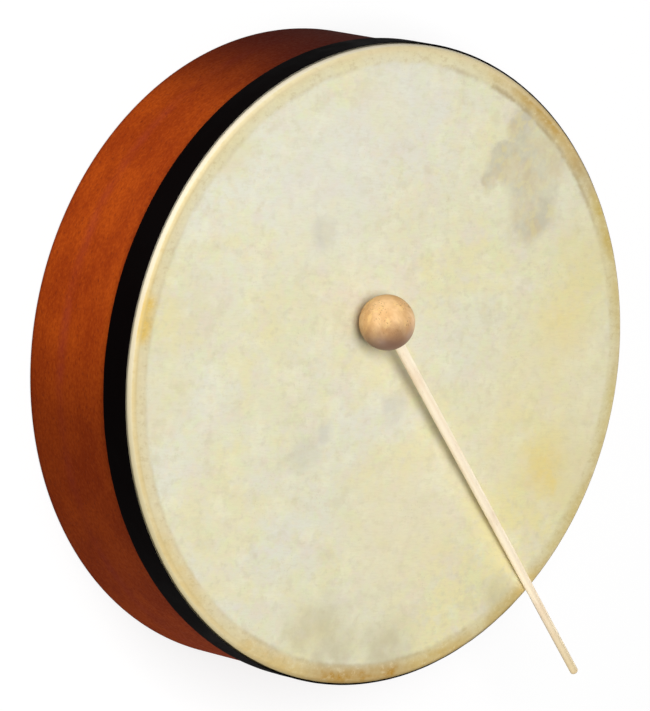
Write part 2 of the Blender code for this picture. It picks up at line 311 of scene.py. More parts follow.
# The dark patch near the +Y, -X edge, of round blobs: x, y, size and softness.
PATCH_DEEP = (
    (-0.133, 0.084, 0.012, 0.007),
    (-0.121, 0.072, 0.003, 0.006),
    (-0.155, 0.094, 0.008, 0.009),
    (-0.098, 0.112, 0.009, 0.015),
    (-0.126, 0.094, 0.009, 0.009),
)
PATCH_PALE = (
    (-0.146, 0.099, 0.012, 0.010),
    (-0.132, 0.115, 0.013, 0.014),
    (-0.110, 0.110, 0.013, 0.012),
)
# Fainter marks, each of such blobs with a share and a colour.
GREY_BLOTCHES = (
    (0.058, -0.057, 0.005, 0.013),
    (0.042, -0.042, 0.002, 0.009),
    (0.026, 0.012, 0.003, 0.014),
    (-0.082, -0.060, 0.003, 0.014),
)
# Painted shade just inside the rim's bearing, mostly towards +X.
SHADE_INSIDE_BEARING = (
    (0.180, -0.016, 0.006, 0.024),
    (0.163, -0.022, 0.004, 0.022),
    (0.165, -0.042, 0.002, 0.022),
    (0.182, 0.030, 0.009, 0.024),
    (0.146, 0.122, 0.004, 0.020),
)
HIDE_MARKS = (
    (GREY_BLOTCHES, 0.45, (199, 196, 186)),
    (SHADE_INSIDE_BEARING, 0.64, (200, 190, 154)),
    (((-0.030, 0.150, 0.004, 0.030),), 0.35, (238, 214, 138)),
    (((0.060, 0.143, 0.002, 0.026), (0.068, 0.150, 0.002, 0.014)), 0.75, (238, 212, 122)),
)


def hide_marks(look, here, colour):
    """The dark patch, the grey blotches, painted shade just inside the rim's bearing, and the yellow
    stains.
    """
    loose = look.warp(look.warp(here, 0.020, 55, 3), 0.006, 240, 3)
    torn = look.warp(look.warp(here, 0.010, 60, 3), 0.007, 200, 3)
    broken = look.cloud(look.place(offset=(7, 3, 0)), 65, 4, 0.6, 0.34, 0.64, 0.55, 1.0)

    def mark(blobs, at):
        return look.most(*[look.blob(at, (x, y, SKIN_TOP), size, soft) for x, y, size, soft in blobs])

    patch = look.most(mark(PATCH_DEEP, torn), look.times(mark(PATCH_PALE, torn), 0.8))
    tan = look.cloud(look.place(offset=(2, 6, 0)), 60, 3, 0.6, 0.42, 0.60)
    gold = look.cloud(look.place(offset=(8, 1, 0)), 130, 3, 0.6, 0.50, 0.62, 0, 0.7)
    hue = look.blend(tan, (197, 190, 168), (206, 188, 150))
    hue = look.blend(gold, hue, (216, 203, 148))
    colour = look.blend(look.times(patch, broken, 0.8), colour, hue)
    for blobs, share, tone in HIDE_MARKS:
        colour = look.blend(look.times(mark(blobs, loose), broken, share), colour, tone)
    return colour


# Deeper amber where the hide bears on the rim: turn from +X, size, softness, share and colour.
EDGE_STAIN_RADIUS = 0.198
EDGE_STAINS = (
    (157, 0.010, 0.024, 0.50, (206, 170, 92)),
    (147, 0.012, 0.022, 0.90, (190, 150, 66)),
    (137, 0.008, 0.022, 0.90, (196, 154, 68)),
    (130, 0.006, 0.018, 0.75, (184, 158, 108)),
    (119, 0.010, 0.024, 0.80, (202, 174, 80)),
    (104, 0.010, 0.026, 0.35, (212, 190, 110)),
    (83, 0.010, 0.034, 0.50, (208, 190, 116)),
    (60, 0.012, 0.030, 0.50, (208, 186, 106)),
    (42, 0.012, 0.028, 0.70, (200, 168, 80)),
    (22, 0.012, 0.028, 0.75, (206, 170, 84)),
    (2, 0.027, 0.026, 1.00, (184, 138, 52)),
    (-20, 0.012, 0.034, 0.65, (218, 182, 104)),
    (-48, 0.010, 0.040, 0.60, (224, 196, 128)),
    (-97, 0.009, 0.011, 1.00, (228, 190, 88)),
)


# Noise near the edge is drawn out a little along Y.
STRETCHED = (1.0, 0.7, 1.0)


class EdgeMeasures:
    """Shader values that the layers of the hide's edge share."""

    def __init__(self, look, here):
        self.here = here
        self.x, self.y = look.axis(here, "X"), look.axis(here, "Y")
        self.loose = look.warp(here, 0.0024, 60, 3)
        self.radius = look.radius(look.warp(self.loose, 0.0016, 260, 2))
        self.true_radius = look.radius(here)
        towards_warm = look.calc("ADD", look.times(self.x, 0.5), look.times(self.y, 0.87))
        self.warm = look.step(towards_warm, -0.06, 0.12)
        self.cold = look.calc("SUBTRACT", 1.0, self.warm)
        self.patchy = look.cloud(look.place(STRETCHED, (5, 5, 0)), 90, 3, 0.6, 0.36, 0.6, 0.68, 1.0)
        self.bearing = look.step(self.radius, RIM_INNER - 0.001, RIM_INNER + 0.002)


def bearing_tones(look, edge, colour):
    """Cream to amber where the hide bears on the rim, deeper towards +X and +Y."""
    colour = look.blend(look.times(edge.bearing, 0.6), colour, (224, 214, 172))
    rosy = look.times(edge.bearing, look.step(edge.x, -0.12, -0.02), edge.cold, edge.patchy)
    colour = look.blend(look.times(rosy, 0.45), colour, (222, 205, 168))
    outer = look.step(edge.radius, RIM_INNER + 0.001, RIM_OUTER - 0.002)
    colour = look.blend(look.times(outer, edge.warm, edge.patchy, 0.6), colour, (206, 182, 118))
    return look.blend(look.times(outer, edge.cold, edge.patchy, 0.5), colour, (224, 205, 150))


def edge_stains(look, edge, colour):
    over_rim = look.step(edge.radius, RIM_INNER - 0.001, RIM_OUTER - 0.003)
    over_rim = look.calc("POWER", over_rim, 0.5)
    fleck = look.cloud(look.place(STRETCHED, (3, 9, 0)), 340, 2, 0.5, 0.4, 0.6, 0.84, 1.0)
    for turn, size, soft, share, tone in EDGE_STAINS:
        angle = math.radians(turn)
        x, y = EDGE_STAIN_RADIUS * math.cos(angle), EDGE_STAIN_RADIUS * math.sin(angle)
        blob = look.blob(edge.loose, (x, y, SKIN_TOP), size, soft)
        spot = look.times(blob, over_rim, edge.patchy, fleck)
        colour = look.blend(look.times(spot, share), colour, tone)
    return colour


def bearing_shade_line(look, edge, colour):
    """A soft line of painted shade where the hide first touches the rim, deepest beside the patch and
    at +X.
    """
    # Painted shade along the crease where the hide meets the rim's bearing.
    line = look.times(
        look.step(edge.radius, RIM_INNER - 0.0026, RIM_INNER + 0.0004),
        look.step(edge.radius, RIM_INNER + 0.0004, RIM_INNER + 0.0034, 1, 0),
    )
    towards_patch = look.calc("ADD", look.times(edge.x, -0.8), look.times(edge.y, 0.6))
    shade_near_patch = look.step(towards_patch, 0.154, 0.192)
    shade_near_foot = look.times(look.step(edge.x, 0.155, 0.187), 0.6)
    everywhere = look.calc("ADD", look.times(edge.cold, 0.24), 0.08)
    broken = look.cloud(edge.here, 55, 4, 0.65, 0.36, 0.62, 0.2, 1.0)
    depth = look.times(look.calc("ADD", look.most(shade_near_patch, shade_near_foot), everywhere), broken, 0.6)
    return look.blend(look.times(line, depth), colour, (176, 154, 112))


def bearing_specks(look, edge, colour):
    speck = look.noise(look.place(STRETCHED, (4, 7, 0)), 320, 3, 0.65)
    dark = look.times(look.step(speck, 0.50, 0.68, 0, 0.30), edge.bearing)
    colour = look.blend(dark, colour, (190, 166, 108))
    pale = look.times(look.step(speck, 0.46, 0.30, 0, 0.30), edge.bearing)
    return look.blend(pale, colour, (240, 230, 186))


def shoulder_tones(look, edge, colour):
    """Golden before the bend and creamy over it towards -Y, and darker at the rim towards +Y."""
    fold = look.times(
        look.step(edge.true_radius, RIM_OUTER - 0.0042, RIM_OUTER - 0.0026),
        look.step(edge.true_radius, RIM_OUTER - 0.0010, RIM_OUTER - 0.0002, 1, 0),
    )
    golden = look.blend(look.step(edge.x, -0.17, -0.06), (228, 210, 168), (214, 190, 132))
    colour = look.blend(look.times(fold, edge.cold, edge.patchy, 0.6), colour, golden)
    bend = look.step(edge.true_radius, RIM_OUTER - 0.0008, RIM_OUTER + 0.0001)
    creamy = look.blend(look.step(edge.x, -0.10, 0.14), (230, 219, 194), (208, 193, 148))
    colour = look.blend(look.times(bend, edge.cold, 0.9), colour, creamy)
    rimmed = look.step(edge.true_radius, RIM_OUTER - 0.0028, RIM_OUTER + 0.0002)
    return look.blend(look.times(rimmed, edge.warm, 0.75), colour, (142, 118, 70))


def hide_edge(look, here, colour):
    """The hide's colours from where it first touches the rim to where it bends down."""
    edge = EdgeMeasures(look, here)
    for layer in (bearing_tones, edge_stains, bearing_shade_line, bearing_specks, shoulder_tones):
        colour = layer(look, edge, colour)
    return colour


def skin_look():
    """Dry goatskin, with its tones, marks and edge, fine fibres, and pores where the hair grew."""
    look = Look("goatskin")
    here = look.place()
    colour = hide_edge(look, here, hide_marks(look, here, hide_tones(look, here)))
    fibre = look.noise(look.place(scale=(900, 170, 300)), 1, 3, 0.6)
    colour = look.blend(look.step(fibre, 0.42, 0.7, 0, 0.13), colour, (204, 194, 152))
    pores = look.step(look.spots(here, 420), 0.10, 0.24, 1, 0)
    grown = look.cloud(here, 40, 2, 0.5, 0.5, 0.7)
    colour = look.blend(look.times(pores, grown, 0.18), colour, (168, 152, 112))
    height = look.calc("ADD", look.times(fibre, 0.35), look.noise(here, 90, 4, 0.55))
    return look.finish(
        Base_Color=colour,
        Roughness=look.cloud(here, 35, 3, 0.5, 0.3, 0.7, 0.5, 0.68),
        Specular_IOR_Level=0.15,
        Normal=look.bump(height, 0.0003, 0.3),
    )


def skin_inside_look():
    """The flesh side of the skin, seen from behind: browner, with long fibres and veins."""
    look = Look("goatskin_inside")
    here = look.place()
    cloudy = look.cloud(here, 12, 4, 0.6, 0.35, 0.65)
    colour = look.blend(cloudy, (206, 184, 138), (188, 162, 112))
    fibre = look.noise(look.place(scale=(60, 520, 60)), 1, 5, 0.6, 0.4)
    colour = look.blend(look.step(fibre, 0.4, 0.7, 0, 0.35), colour, (158, 130, 86))
    field = look.noise(look.warp(here, 0.04, 14), 9, 2)
    vein = look.times(look.step(field, 0.49, 0.51), look.step(field, 0.5, 0.52, 1, 0))
    colour = look.blend(look.times(vein, 0.3), colour, (150, 116, 76))
    return look.finish(
        Base_Color=colour,
        Roughness=look.step(fibre, 0.3, 0.7, 0.6, 0.8),
        Normal=look.bump(fibre, 0.0005, 0.5),
    )


def bare_wood_look():
    """Sawn wood without a finish, with streaks along its grain."""
    look = Look("raw_wood")
    light, dark, pore = (186, 132, 82), (150, 98, 54), (92, 54, 26)
    grain = look.grain()
    bands = look.noise(look.grain(2.2, 110), 1, 4, 0.55, 0.25)
    colour = look.blend(look.step(bands, 0.3, 0.7), light, dark)
    fibre = look.noise(look.grain(28, 1540), 1, 3, 0.6)
    colour = look.blend(look.step(fibre, 0.35, 0.75, 0, 0.3), colour, dark)
    vessels = look.spots(look.grain(55, 990), 1)
    open_here = look.cloud(grain, 60, 2, 0.5, 0.4, 0.6)
    vessel = look.times(look.step(vessels, 0.12, 0.3, 1, 0), open_here)
    colour = look.blend(look.times(vessel, 0.6), colour, pore)
    figure = look.cloud(look.grain(46, 12), 1, 3, 0.5, 0.4, 0.7, 0, 0.15)
    colour = look.blend(figure, colour, light)
    return look.finish(
        Base_Color=colour,
        Roughness=look.step(bands, 0.3, 0.7, 0.55, 0.67),
        Normal=look.bump(look.calc("SUBTRACT", look.times(fibre, 0.5), vessel), 0.0002, 0.4),
    )


# Height of a faint line of painted sheen round the rim.
RIM_SHEEN_Z = 0.031


def rim_wood_tones(look, mottle):
    """Red-brown stain on fine wood: clouds, streaks along the grain, and mottling."""
    cloudy = look.cloud(look.place((1, 1, 1.6)), 22, 4, 0.6, 0.36, 0.66)
    colour = look.blend(cloudy, (171, 70, 12), (150, 55, 9))
    streak = look.noise(look.grain(3.0, 60), 1, 4, 0.6, 0.3)
    colour = look.blend(look.step(streak, 0.4, 0.7, 0, 0.3), colour, (138, 48, 8))
    colour = look.blend(look.step(mottle, 0.44, 0.66, 0, 0.4), colour, (124, 40, 6))
    return look.blend(look.step(mottle, 0.46, 0.3, 0, 0.3), colour, (192, 88, 22))


def rim_wear_and_painted_light(look, colour):
    """A faint purplish line of painted sheen near the middle, painted shade towards -X and at +X, -Y,
    and dark worn edges.
    """
    here = look.place()
    x, y, height = (look.axis(here, name) for name in "XYZ")
    # Painted sheen: a faint purplish line round the rim at that height.
    from_sheen_line = look.calc("ABSOLUTE", look.calc("SUBTRACT", height, RIM_SHEEN_Z))
    line = look.step(from_sheen_line, 0.0, 0.007, 1, 0)
    broken = look.cloud(here, 34, 3, 0.6, 0.36, 0.62, 0.2, 1.0)
    colour = look.blend(look.times(line, broken, 0.3), colour, (150, 54, 46))
    # Painted shade: darker towards -X, and on the +X, -Y side.
    shade_plus_x_minus_y = look.times(look.step(x, -0.02, 0.06), look.step(y, 0.02, -0.06), 0.46)
    painted_shade = look.most(look.step(x, -0.146, -0.198, 0, 0.9), shade_plus_x_minus_y)
    colour = look.blend(painted_shade, colour, (78, 18, 4))
    worn = look.most(
        look.step(height, 0.005, 0.0), look.step(height, BAND_BACK - 0.003, BAND_BACK)
    )
    return look.blend(look.times(worn, 0.5), colour, (88, 26, 8))


def rim_look():
    look = Look("rim_stained_wood")
    mottle = look.noise(look.grain(420, 620), 1, 3, 0.65)
    colour = rim_wood_tones(look, mottle)
    vessels = look.spots(look.grain(170, 760), 1)
    vessel = look.times(look.step(vessels, 0.1, 0.28, 1, 0), look.step(mottle, 0.4, 0.55))
    colour = look.blend(look.times(vessel, 0.5), colour, (84, 22, 6))
    return look.finish(
        Base_Color=rim_wear_and_painted_light(look, colour),
        Roughness=look.step(mottle, 0.3, 0.7, 0.48, 0.62),
        Specular_IOR_Level=0.05,
        Normal=look.bump(look.calc("SUBTRACT", look.times(mottle, 0.6), vessel), 0.0002, 0.5),
    )


def band_look():
    """Black tape with a faint cloth-like tooth."""
    look = Look("black_tape")
    weave = look.noise(look.place((500, 500, 1400)), 1, 2, 0.5)
    dust = look.cloud(look.place(), 300, 3, 0.7, 0.62, 0.8, 0, 0.2)
    colour = look.blend(dust, (4, 1, 1), (24, 17, 15))
    return look.finish(
        Base_Color=colour,
        Roughness=look.cloud(look.place(), 45, 3, 0.5, 0.3, 0.7, 0.42, 0.55),
        Specular_IOR_Level=0.03,
        Normal=look.bump(weave, 0.0002, 0.3),
    )


# Painted shade on the ball deepens towards this direction.
BALL_SHADE_SIDE = Vector((0.96, 0.05, 0.18)).normalized()


def ball_painted_shade(look, here):
    """A share of painted shade that rises through the ball towards its shaded side."""
    towards = look.measure("DOT_PRODUCT", look.warp(here, 0.006, 120, 3), BALL_SHADE_SIDE)
    depth = look.calc("SUBTRACT", towards, BALL_SHADE_SIDE.dot(BALL_CENTRE))
    return look.step(depth, -0.2 * BALL_RADIUS, 0.9 * BALL_RADIUS, 0, 0.92)


def ball_look():
    """A turned ball: golden wood with short pores, and mauve-brown painted shade on one side."""
    look = Look("ball_wood")
    grain = look.grain()
    here = look.place()
    cloudy = look.cloud(look.warp(here, 0.006, 90, 2), 70, 3, 0.55, 0.36, 0.64)
    colour = look.blend(cloudy, (242, 200, 146), (220, 170, 112))
    rings = look.noise(look.grain(9, 120), 1, 3, 0.55, 0.35)
    colour = look.blend(look.step(rings, 0.45, 0.64, 0, 0.35), colour, (214, 162, 98))
    gold = look.cloud(look.place(offset=(6, 2, 4)), 130, 3, 0.6, 0.52, 0.66, 0, 0.55)
    colour = look.blend(gold, colour, (252, 212, 142))
    streak = look.noise(look.grain(30, 620), 1, 3, 0.6)
    colour = look.blend(look.step(streak, 0.46, 0.68, 0, 0.22), colour, (204, 152, 96))
    shade_share = ball_painted_shade(look, here)
    # Painted shade: mauve-brown over the ball's shaded side.
    colour = look.blend(shade_share, colour, (116, 86, 74))
    pores = look.step(look.spots(look.grain(420, 900), 1), 0.14, 0.30, 1, 0)
    where = look.cloud(grain, 110, 2, 0.5, 0.46, 0.56)
    unshaded_share = look.calc("SUBTRACT", 1.0, shade_share)
    colour = look.blend(look.times(pores, where, unshaded_share, 0.75), colour, (132, 92, 44))
    height = look.calc("SUBTRACT", look.times(streak, 0.4), look.times(pores, where))
    return look.finish(
        Base_Color=colour,
        Roughness=look.step(rings, 0.3, 0.7, 0.42, 0.55),
        Specular_IOR_Level=0.22,
        Normal=look.bump(height, 0.0002, 0.4),
    )


def stick_look():
    """A pale dowel with a faint grain, browner here and there and towards its tip."""
    look = Look("dowel_wood")
    along = look.axis(look.grain(), "X")
    grain = look.noise(look.grain(16, 700), 1, 3, 0.6)
    colour = look.blend(look.step(grain, 0.40, 0.62, 0, 0.5), (255, 240, 212), (248, 226, 190))
    tone = look.noise(look.grain(34, 60), 1, 3, 0.6)
    colour = look.blend(look.step(tone, 0.48, 0.66, 0, 0.5), colour, (240, 212, 178))
    tip = look.step(along, 0.23, 0.31, 0, 0.75)
    colour = look.blend(tip, colour, (222, 198, 148))
    end = look.step(along, STICK_LENGTH - 0.003, STICK_LENGTH, 0, 0.5)
    colour = look.blend(end, colour, (206, 170, 112))
    pore = look.step(look.spots(look.grain(120, 1300), 1), 0.1, 0.25, 1, 0)
    here_only = look.step(tone, 0.42, 0.56)
    colour = look.blend(look.times(pore, here_only, 0.35), colour, (196, 158, 112))
    return look.finish(
        Base_Color=colour,
        Roughness=look.step(grain, 0.3, 0.7, 0.5, 0.62),
        Specular_IOR_Level=0.25,
        Normal=look.bump(look.calc("SUBTRACT", grain, pore), 0.0001, 0.15),
    )


def steel_look():
    look = Look("steel")
    scratch = look.noise(look.place((900, 120, 900)), 1, 3, 0.6)
    rust = look.cloud(look.place(), 400, 3, 0.6, 0.6, 0.75, 0, 0.35)
    colour = look.blend(rust, (172, 170, 166), (128, 104, 84))
    return look.finish(
        Base_Color=colour,
        Metallic=1.0,
        Roughness=look.step(scratch, 0.3, 0.7, 0.28, 0.5),
        Normal=look.bump(scratch, 0.0001, 0.3),
    )


# ---------------- meshes

ON_AXIS = 1e-7


def arc(r, z, radius, start, end, steps=6):
    """Points of an arc in the (radius, height) plane, from start to end degrees."""
    angles = [math.radians(start + (end - start) * i / steps) for i in range(steps + 1)]
    return [(r + radius * math.cos(a), z + radius * math.sin(a)) for a in angles]


def line(start, end, steps):
    """Points from start to end in the (radius, height) plane."""
    run, rise = end[0] - start[0], end[1] - start[1]
    return [(start[0] + run * i / steps, start[1] + rise * i / steps) for i in range(steps)] + [end]


def as_object(name, work, place=None):
    """Put a finished bmesh into the scene as an object, its points moved by a matrix if given."""
    mesh = bpy.data.meshes.new(name)
    work.to_mesh(mesh)
    work.free()
    if place:
        mesh.transform(place)
    made = bpy.data.objects.new(name, mesh)
    bpy.context.scene.collection.objects.link(made)
    return made


def turned_ring(work, r, z, segments, shift):
    """A ring of points at a radius and height, or the one point where the profile meets the axis."""
    if r < ON_AXIS:
        return [work.verts.new((0, 0, z))]
    ring = []
    for k in range(segments):
        angle = math.tau * k / segments
        dr, dz = shift(angle, r, z) if shift else (0, 0)
        ring.append(work.verts.new(((r + dr) * math.cos(angle), (r + dr) * math.sin(angle), z + dz)))
    return ring


def lathe(name, profile, segments, closed=False, shift=None, place=None, along="turn"):
    """Turn a profile of (radius, height) points about Z into a mesh object.

    shift(angle, radius, height) gives a small (radius, height) change at each point. The grain
    attribute holds metres along the turn or, for along="axis", metres along Z, then the other
    two directions.
    """
    work = bmesh.new()
    grain = work.loops.layers.float_vector.new("grain")
    rings = [turned_ring(work, r, z, segments, shift) for r, z in profile]
    girth = math.tau * max(r for r, z in profile)
    rows = list(range(len(profile)))
    for i, j in zip(rows, rows[1:] + rows[:1] if closed else rows[1:]):
        for k in range(segments):
            corners = [(i, k), (j, k), (j, k + 1), (i, k + 1)]
            if len(rings[i]) == 1:
                corners = corners[:3]
            elif len(rings[j]) == 1:
                corners = [corners[0], corners[1], corners[3]]
            face = work.faces.new([rings[row][turn % len(rings[row])] for row, turn in corners])
            face.smooth = True
            for loop, (row, turn) in zip(face.loops, corners):
                r, z = profile[row]
                if along == "turn":
                    loop[grain] = (girth * turn / segments, z, r)
                else:
                    loop[grain] = loop.vert.co.zxy
    bmesh.ops.recalc_face_normals(work, faces=work.faces)
    return as_object(name, work, place)


def ripple(angle, turns, height, size=1.0, seed=0.0):
    """Smooth noise from -1 to 1 that closes on itself round the drum."""
    point = (turns * math.cos(angle), turns * math.sin(angle), height * size + seed)
    return noise.noise(Vector(point))


def stand_in(piece, material, body, slot, *nodes):
    """Give a piece its material, and say which body it rides on and which CAD nodes it replaces."""
    piece.data.materials.append(material)
    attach(piece, body)
    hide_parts(*nodes)


def crisp(piece, angle=32):
    """Smooth shading that stays sharp at real edges and flat on broad faces."""
    piece.data.set_sharp_from_angle(angle=math.radians(angle))
    weighted = piece.modifiers.new("even_shading", "WEIGHTED_NORMAL")
    weighted.keep_sharp = True


RIM_SEGMENTS = 288
FRONT_ROUNDING, BACK_ROUNDING = 0.0030, 0.0015
SCARF_ANGLE = math.radians(75)
SCARF_SLOPE = 0.35
SCARF_WIDTH, SCARF_DEPTH = 0.0016, 0.0002
RIM_UNEVENNESS = 0.00012


def make_outer_ply(material):
    front, back = FRONT_ROUNDING, BACK_ROUNDING
    profile = line((OUTER_PLY_INNER, 0.0), (OUTER_PLY_INNER, RIM_TOP), 6)
    profile += [(OUTER_PLY_INNER + 0.001, RIM_TOP)]
    profile += arc(RIM_OUTER - front, RIM_TOP - front, front, 90, 0)
    profile += line((RIM_OUTER, RIM_TOP - front - 0.001), (RIM_OUTER, back + 0.001), 14)
    profile += arc(RIM_OUTER - back, back, back, 0, -90, 5)
    profile += [(OUTER_PLY_INNER + 0.001, 0.0)]

    def bent(angle, r, z):
        """A bent ply is never quite true, and its two ends meet in a fine slanting scarf line."""
        if r < RIM_OUTER - 0.0001:
            return 0, 0
        away = abs(angle - SCARF_ANGLE - SCARF_SLOPE * (z - 0.05)) * RIM_OUTER
        scarf = SCARF_DEPTH * math.exp(-((away / SCARF_WIDTH) ** 2))
        return RIM_UNEVENNESS * (ripple(angle, 3, z, 8) - 1) - scarf, 0

    piece = lathe("rim_outer", profile, RIM_SEGMENTS, closed=True, shift=bent)
    crisp(piece)
    stand_in(piece, material, "drum", "rim_wood", "rim_outer_ply")


def make_inner_ply(material):
    front, back = FRONT_ROUNDING, BACK_ROUNDING
    profile = [(RIM_INNER, back + 0.001)]
    profile += line((RIM_INNER, back + 0.002), (RIM_INNER, RIM_TOP - front - 0.001), 12)
    profile += arc(RIM_INNER + front, RIM_TOP - front, front, 180, 90)
    profile += [(INNER_PLY_OUTER, RIM_TOP)]
    profile += line((INNER_PLY_OUTER, RIM_TOP - 0.001), (INNER_PLY_OUTER, 0.001), 4)[:-1]
    profile += [(INNER_PLY_OUTER, 0.0)]
    profile += arc(RIM_INNER + back, back, back, -90, -180, 5)
    piece = lathe("rim_inner", profile, RIM_SEGMENTS, closed=True)
    crisp(piece)
    stand_in(piece, material, "drum", "rim_wood", "rim_inner_ply")


# The free skin lies this far below the part that bears on the rim.
SKIN_DIP = 0.00025
SKIN_BEARING = RIM_INNER + 0.0005
SHOULDER_START = SKIN_OUTER - SHOULDER
FLAP_INNER = SKIN_OUTER - SKIN_THICKNESS


def skin_outside_profile():
    """From the middle, flat to the bearing, a little up onto the rim, and down over the shoulder."""
    low = SKIN_TOP - SKIN_DIP
    profile = [(0.0, low)]
    profile += [(SKIN_BEARING * i / 36, low) for i in range(1, 35)]
    profile += [
        (SKIN_BEARING - 0.0060, low),
        (SKIN_BEARING - 0.0035, low + 0.1 * SKIN_DIP),
        (SKIN_BEARING - 0.0015, low + 0.5 * SKIN_DIP),
        (SKIN_BEARING + 0.0005, low + 0.9 * SKIN_DIP),
        (SKIN_BEARING + 0.0025, SKIN_TOP),
    ]
    profile += line((SKIN_BEARING + 0.004, SKIN_TOP), (SHOULDER_START, SKIN_TOP), 3)[:-1]
    profile += arc(SHOULDER_START, SKIN_TOP - SHOULDER, SHOULDER, 90, 0, 10)
    down_from = SKIN_TOP - SHOULDER - 0.001
    return profile + line((SKIN_OUTER, down_from), (SKIN_OUTER, SKIN_BOTTOM), 6)


def skin_inside_profile():
    under = SKIN_TOP - SKIN_THICKNESS
    profile = line((FLAP_INNER, SKIN_BOTTOM), (FLAP_INNER, SKIN_TOP - SHOULDER), 4)[:-1]
    profile += arc(SHOULDER_START, SKIN_TOP - SHOULDER, SHOULDER - SKIN_THICKNESS, 0, 90, 6)
    profile += [(SKIN_BEARING + 0.0025, under), (SKIN_BEARING - 0.0035, under - SKIN_DIP)]
    profile += [(SKIN_BEARING * i / 12, under - SKIN_DIP) for i in range(11, 0, -1)]
    return profile + [(0.0, under - SKIN_DIP)]


def drawn(angle, r, z):
    """The free skin waves very slightly, and small pleats run over the shoulder."""
    if z > SKIN_TOP - 0.0003 and r < SKIN_BEARING:
        return 0, 0.00010 * (ripple(angle, r * 30, r, 12, 2) - 1) * min(1, r / 0.02)
    if r < FLAP_INNER + 0.0001:
        return 0, 0
    pull = max(0.0, min(1.0, (r - SHOULDER_START) / SHOULDER))
    pleat = ripple(angle, 26, z, 20) + 0.6 * ripple(angle, 60, z, 20, 5) - 1.2
    return 0.00008 * pull * pleat, 0


def make_skin(outside, inside):
    """One hide: flat over the drum, proud where it bears on the rim, and turned down its side."""
    outer = skin_outside_profile()
    profile = outer + skin_inside_profile()
    piece = lathe("goatskin_head", profile, RIM_SEGMENTS, shift=drawn)
    stand_in(piece, outside, "drum", "goatskin", "drum_skin")
    piece.data.materials.append(inside)
    for face in piece.data.polygons:
        if face.index // RIM_SEGMENTS >= len(outer):
            face.material_index = 1


TAPE_EDGE = 0.0002
LAP_START, LAP_LENGTH, LAP_RISE = math.radians(96), math.radians(4.5), 0.00022
TACK_SHOWS_RADIUS, TACK_SHOWS_RISE = 0.0042, 0.00012
TAPE_WANDER, TAPE_WRINKLE = 0.00015, 0.00005


def make_band(material):
    """Tape round the skin's flap: its end laps its start, and the tacks show through faintly."""
    edge, inner = TAPE_EDGE, SKIN_OUTER + 0.00005
    profile = [(inner, BAND_BACK + edge)]
    profile += line((inner, BAND_BACK + 0.003), (inner, BAND_FRONT - edge), 3)[:-1]
    profile += arc(BAND_OUTER - edge, BAND_FRONT - edge, edge, 90, 0, 3)
    profile += line((BAND_OUTER, BAND_FRONT - 0.0008), (BAND_OUTER, BAND_BACK + 0.0008), 16)
    profile += arc(BAND_OUTER - edge, BAND_BACK + edge, edge, 0, -90, 3)
    tacks = [sum(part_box(node), Vector()) / 2 for node in TACKS]
    turns = [math.atan2(tack.y, tack.x) % math.tau for tack in tacks]
    tack_height = tacks[0].z

    def taped(angle, r, z):
        if r < BAND_OUTER - 0.0007:
            return 0, TAPE_WANDER * ripple(angle, 14, z, 0)
        nearest = min(abs((angle - turn + math.pi) % math.tau - math.pi) for turn in turns)
        away = math.hypot(nearest * BAND_OUTER, z - tack_height) / TACK_SHOWS_RADIUS
        rise = TACK_SHOWS_RISE * math.exp(-(away**4))
        if 0 <= angle - LAP_START < LAP_LENGTH:
            rise += LAP_RISE
        wrinkle = TAPE_WRINKLE * (ripple(angle, 40, z, 90) - 1)
        return rise + wrinkle, TAPE_WANDER * ripple(angle, 14, 0, 0)

    piece = lathe("edge_band", profile, RIM_SEGMENTS * 2, closed=True, shift=taped)
    crisp(piece)
    stand_in(piece, material, "drum", "black_tape", "black_band")


# The stick's end in the ball, out of sight.
STICK_DEPTH_IN_BALL = 0.022


def make_ball(material):
    """The ball, with its bore's mouth softened where the stick goes in."""
    bore = STICK_RADIUS_AT_BALL + 0.0001
    mouth = math.degrees(math.acos((bore + 0.0006) / BALL_RADIUS))
    rim = BALL_RADIUS * math.sin(math.radians(mouth))
    floor = rim - STICK_DEPTH_IN_BALL
    profile = [(0.0, floor), (bore, floor), (bore, rim - 0.004), (bore, rim - 0.0008)]
    profile += [(bore + 0.00015, rim - 0.0003)]
    profile += arc(0, 0, BALL_RADIUS, mouth, -90, 56)[:-1]
    profile += [(0.0, -BALL_RADIUS)]
    piece = lathe("beater_head", profile, 112, place=BEATER_FRAME, along="axis")
    stand_in(piece, material, "beater", "ball_wood", "beater_ball")


STICK_TIP_ROUNDING = 0.0013
STICK_ROWS = 70


def make_stick(material):
    """A dowel that tapers to its tip and is very slightly bent and uneven."""
    thick, thin, edge = STICK_RADIUS_AT_BALL, STICK_RADIUS_AT_TIP, STICK_TIP_ROUNDING
    start = BALL_RADIUS - STICK_DEPTH_IN_BALL
    profile = [(0.0, STICK_LENGTH)]
    profile += arc(thin - edge, STICK_LENGTH - edge, edge, 90, 0, 5)
    for i in range(1, STICK_ROWS):
        height = STICK_LENGTH - edge - (STICK_LENGTH - edge - BALL_RADIUS) * i / STICK_ROWS
        share = (STICK_LENGTH - height) / (STICK_LENGTH - BALL_RADIUS)
        profile.append((thin + (thick - thin) * share, height))
    profile += [(thick, BALL_RADIUS), (thick, start), (0.0, start)]

    def uneven(angle, r, z):
        if r < thin * 0.9:
            return 0, 0
        return 0.00006 * (ripple(angle, 0.8, z, 26) - 1) + 0.00003 * ripple(angle, 2.5, z, 120), 0

    piece = lathe("beater_handle", profile, 48, shift=uneven, place=BEATER_FRAME, along="axis")
    stand_in(piece, material, "beater", "pale_wood", "beater_stick")


def settle(piece):
    """Apply a piece's modifiers, so that it is a plain mesh."""
    bpy.context.view_layer.update()
    graph = bpy.context.evaluated_depsgraph_get()
    mesh = bpy.data.meshes.new_from_object(piece.evaluated_get(graph))
    piece.modifiers.clear()
    piece.data = mesh


